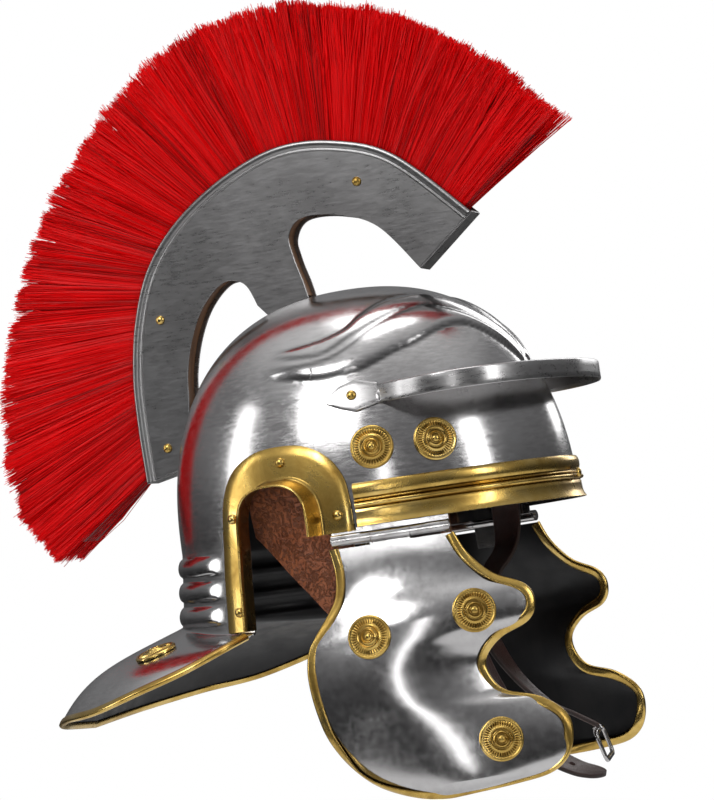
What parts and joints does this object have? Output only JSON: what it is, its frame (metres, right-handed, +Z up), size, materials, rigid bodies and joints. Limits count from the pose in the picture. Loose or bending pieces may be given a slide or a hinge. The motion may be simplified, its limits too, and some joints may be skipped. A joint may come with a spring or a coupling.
{
  "type": "roman legionary helmet",
  "caption": "Steel legionary helmet with brass brow band, ear guards, ribbed nape, neck guard, peak, hinged cheek guards and a fan-shaped hair crest on a raised crest box.",
  "frame": {"origin": "centre of the head opening, in the plane of the brow rim", "axes": "+Z up through the crown; the helmet faces -Y; +X is the wearer's left"},
  "size_m": [0.2732, 0.3676, 0.4696],
  "materials": {
    "steel": "polished sheet steel with fine hand-brushed scratches, painted satin black inside",
    "brass": "polished brass with darker tarnish in its corners",
    "hair": "stiff red bristle, glossy along each hair",
    "wood": "plain brown wood",
    "lining_leather": "rust-brown pebbled leather",
    "strap_leather": "dark chocolate strap leather, smooth with a soft sheen",
    "bright_metal": "plain bright plated steel"
  },
  "bodies": {
    "root": {"bowl": "steel", "brow_band": "brass", "band_rivet": "brass", "peak": "steel", "peak_rivet_right": "brass", "peak_rivet_left": "brass", "ear_guard_right": "brass", "ear_guard_left": "brass", "ear_rivets_right": "brass", "ear_rivets_left": "brass", "neck_trim": "brass", "crest_box": "steel", "crest_core": "wood", "crest_rivets": "brass", "plume": "hair", "bowl_rosette_right_1": "brass", "bowl_rosette_right_2": "brass", "bowl_rosette_left_1": "brass", "bowl_rosette_left_2": "brass", "neck_rosette_right": "brass", "neck_rosette_back": "brass", "neck_rosette_left": "brass", "lining_right": "lining_leather", "lining_left": "lining_leather", "strap_right": "strap_leather", "strap_left": "strap_leather", "buckle_frame": "bright_metal", "buckle_prong": "bright_metal", "hinge_leaf_right": "bright_metal", "hinge_leaf_left": "bright_metal", "hinge_pin_right": "bright_metal", "hinge_pin_left": "bright_metal"},
    "cheek_right": {"cheek_leaf_right": "bright_metal", "cheek_plate_right": "steel", "cheek_trim_right": "brass", "cheek_rosette_right_1": "brass", "cheek_rosette_right_2": "brass", "cheek_rosette_right_3": "brass"},
    "cheek_left": {"cheek_leaf_left": "bright_metal", "cheek_plate_left": "steel", "cheek_trim_left": "brass", "cheek_rosette_left_1": "brass", "cheek_rosette_left_2": "brass", "cheek_rosette_left_3": "brass"}
  },
  "joints": [
    {"name": "cheek_right_hinge", "type": "hinge", "parent": "root", "child": "cheek_right", "pos_m": [-0.10251, -0.006, -0.006], "axis": [-0.2521, 0.9677, 0], "range_deg": [-10, 95]},
    {"name": "cheek_left_hinge", "type": "hinge", "parent": "root", "child": "cheek_left", "pos_m": [0.10251, -0.006, -0.006], "axis": [-0.2521, -0.9677, 0], "range_deg": [-10, 95]}
  ]
}
